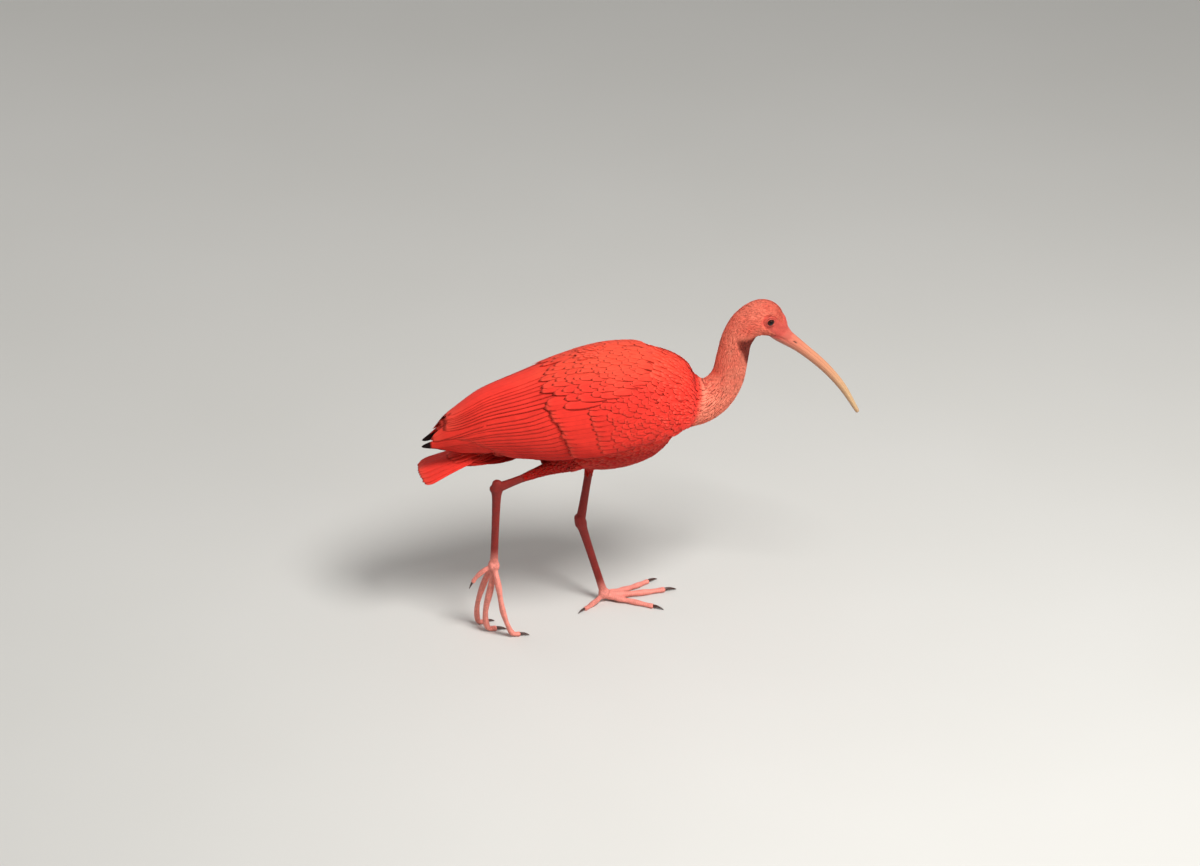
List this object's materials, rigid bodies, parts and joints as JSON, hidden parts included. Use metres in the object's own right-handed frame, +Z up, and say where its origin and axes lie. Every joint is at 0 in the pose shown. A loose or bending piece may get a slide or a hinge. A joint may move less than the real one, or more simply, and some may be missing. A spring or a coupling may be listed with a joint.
{
  "type": "scarlet ibis",
  "caption": "Life-size still model of a scarlet ibis in mid stride, with folded wings, an upright neck and a long down-curved bill.",
  "frame": {"origin": "middle of the bird's outer box, on the floor it stands on", "axes": "+X is where the bird is heading, from tail to bill; +Y is its left side; +Z is up"},
  "size_m": [0.4488, 0.1182, 0.3421],
  "materials": {
    "plumage": "overlapping scarlet feathers, soft and faintly glossy",
    "bill": "smooth horn, pinkish at the root and tan at the tip",
    "leg_skin": "scaled bare skin, satin",
    "claw": "dark horn",
    "eye": "wet gloss"
  },
  "bodies": {
    "root": {"torso": "plumage", "neck_lower": "plumage", "neck_upper": "plumage", "head": "plumage", "bill_upper": "bill", "bill_lower": "bill", "tail": "plumage", "eye_left": "eye", "wing_left": "plumage", "thigh_left": "plumage", "shank_left": "leg_skin", "tarsus_left": "leg_skin", "foot_left": "leg_skin", "toe_inner_left": "leg_skin", "toe_middle_left": "leg_skin", "toe_outer_left": "leg_skin", "toe_hind_left": "leg_skin", "claw_inner_left": "claw", "claw_middle_left": "claw", "claw_outer_left": "claw", "claw_hind_left": "claw", "eye_right": "eye", "wing_right": "plumage", "thigh_right": "plumage", "shank_right": "leg_skin", "tarsus_right": "leg_skin", "foot_right": "leg_skin", "toe_inner_right": "leg_skin", "toe_middle_right": "leg_skin", "toe_outer_right": "leg_skin", "toe_hind_right": "leg_skin", "claw_inner_right": "claw", "claw_middle_right": "claw", "claw_outer_right": "claw", "claw_hind_right": "claw"}
  },
  "joints": []
}
